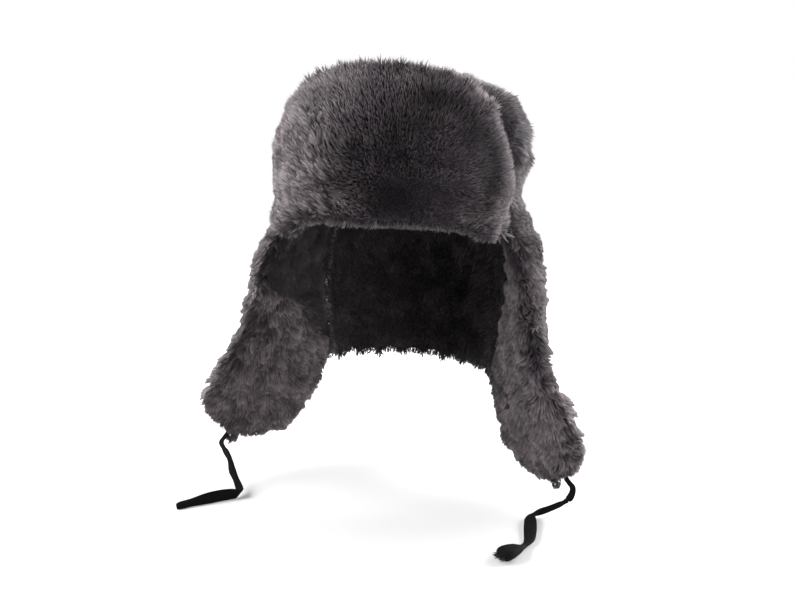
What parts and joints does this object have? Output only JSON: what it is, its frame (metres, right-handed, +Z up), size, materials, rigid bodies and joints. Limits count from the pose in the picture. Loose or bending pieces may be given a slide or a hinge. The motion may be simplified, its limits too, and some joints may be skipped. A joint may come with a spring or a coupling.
{
  "type": "ushanka",
  "caption": "Fur hat with a turned-up front flap, two hanging ear flaps with black tie ribbons and a neck flap, as worn on a head.",
  "frame": {"origin": "where the top of the wearer's head bears against the inside of the crown, in the middle of it", "axes": "+Z up, the front flap faces -Y, the wearer's left is +X"},
  "size_m": [0.3599, 0.2768, 0.3861],
  "materials": {
    "crown_cloth": "matte woven cloth, very dark grey",
    "fur": "dense grey pile with a faint purple tint, lighter at the tips",
    "ribbon": "black woven ribbon, slight sheen"
  },
  "bodies": {
    "root": {"crown": "crown_cloth", "crown_fur": "fur", "front_flap": "fur", "ear_flap_left": "fur", "ear_flap_right": "fur", "neck_flap": "fur", "tie_left": "ribbon", "tie_right": "ribbon"}
  },
  "joints": []
}
